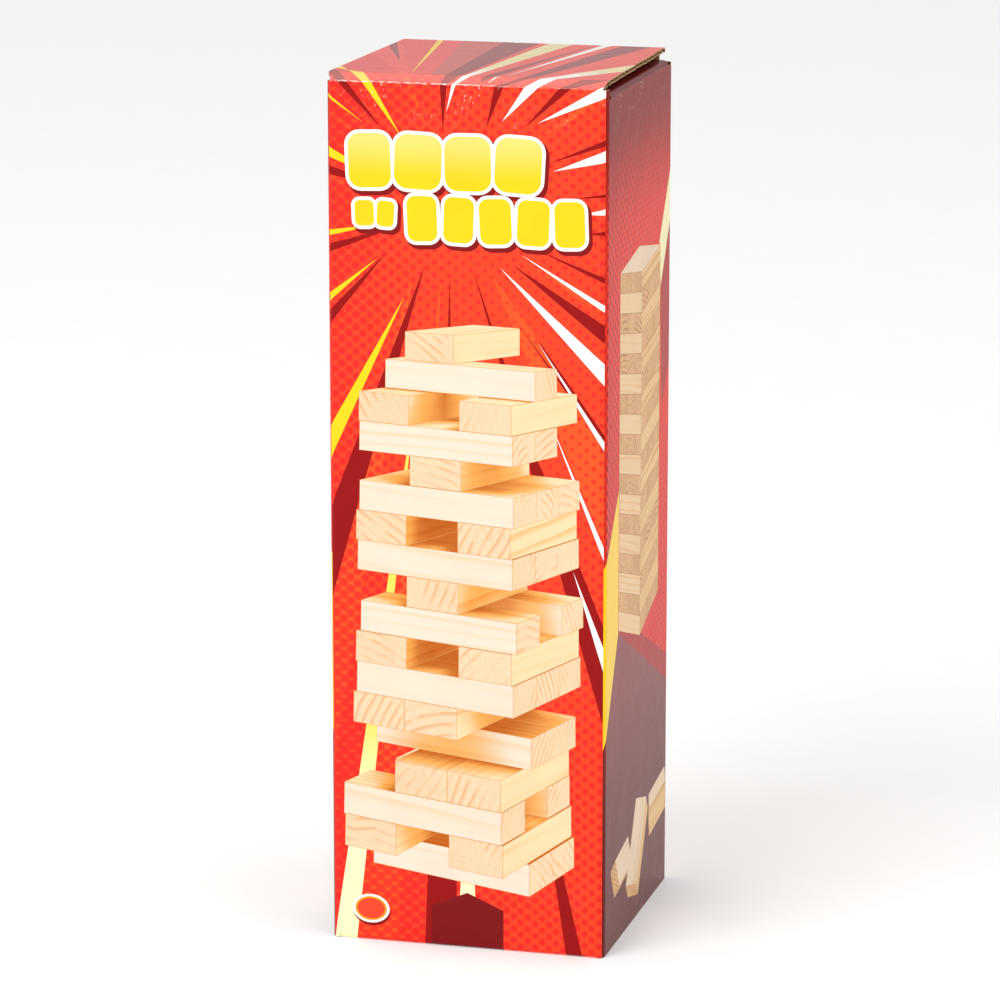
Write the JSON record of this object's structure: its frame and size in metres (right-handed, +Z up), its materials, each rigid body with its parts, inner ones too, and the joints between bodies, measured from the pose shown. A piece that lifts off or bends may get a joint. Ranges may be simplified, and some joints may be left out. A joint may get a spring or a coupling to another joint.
{
  "type": "boxed tumbling tower game",
  "caption": "Tall square carton of printed micro-flute board with a tuck-in hinged lid, holding a stacked tower of wooden blocks.",
  "frame": {"origin": "centre of the carton's bottom face, on the surface it stands on", "axes": "+Z up along the tower, -Y towards the carton's front, +X towards its right side"},
  "size_m": [0.058, 0.058, 0.181],
  "materials": {
    "printed_board": "gloss printed",
    "flap_board": "matt uncoated inside, printed outside",
    "block_wood": "sanded, unvarnished"
  },
  "bodies": {
    "carton": {"carton_tube": "printed_board", "glue_flap": "flap_board", "bottom_outer_panel": "printed_board", "bottom_inner_panel": "flap_board", "bottom_side_flap_left": "flap_board", "bottom_side_flap_right": "flap_board"},
    "lid": {"lid": "printed_board"},
    "lid_tuck": {"lid_tuck_flap": "printed_board"},
    "dust_left": {"top_dust_flap_left": "flap_board"},
    "dust_right": {"top_dust_flap_right": "flap_board"},
    "tower": {"layer_01": "block_wood", "layer_02": "block_wood", "layer_03": "block_wood", "layer_04": "block_wood", "layer_05": "block_wood", "layer_06": "block_wood", "layer_07": "block_wood", "layer_08": "block_wood", "layer_09": "block_wood", "layer_10": "block_wood", "layer_11": "block_wood", "layer_12": "block_wood", "layer_13": "block_wood", "layer_14": "block_wood", "layer_15": "block_wood", "layer_16": "block_wood", "layer_17": "block_wood", "layer_18": "block_wood"}
  },
  "joints": [
    {"name": "lid_open", "type": "hinge", "parent": "carton", "child": "lid", "pos_m": [0, -0.0285, 0.1805], "axis": [1, 0, 0], "range_deg": [0, 150]},
    {"name": "tuck_fold", "type": "hinge", "parent": "lid", "child": "lid_tuck", "pos_m": [0, 0.026, 0.1805], "axis": [1, 0, 0], "range_deg": [0, 45]},
    {"name": "dust_left_fold", "type": "hinge", "parent": "carton", "child": "dust_left", "pos_m": [-0.0285, 0, 0.178], "axis": [0, -1, 0], "range_deg": [0, 60]},
    {"name": "dust_right_fold", "type": "hinge", "parent": "carton", "child": "dust_right", "pos_m": [0.0285, 0, 0.178], "axis": [0, 1, 0], "range_deg": [0, 60]},
    {"name": "tower_play", "type": "slide", "parent": "carton", "child": "tower", "axis": [0, 0, 1], "range_m": [0, 0.0015]}
  ],
  "couplings": [
    {"joint": "tuck_fold", "follows": "lid_open", "ratio": 0.3},
    {"joint": "dust_left_fold", "follows": "lid_open", "ratio": 0.4},
    {"joint": "dust_right_fold", "follows": "lid_open", "ratio": 0.4}
  ]
}
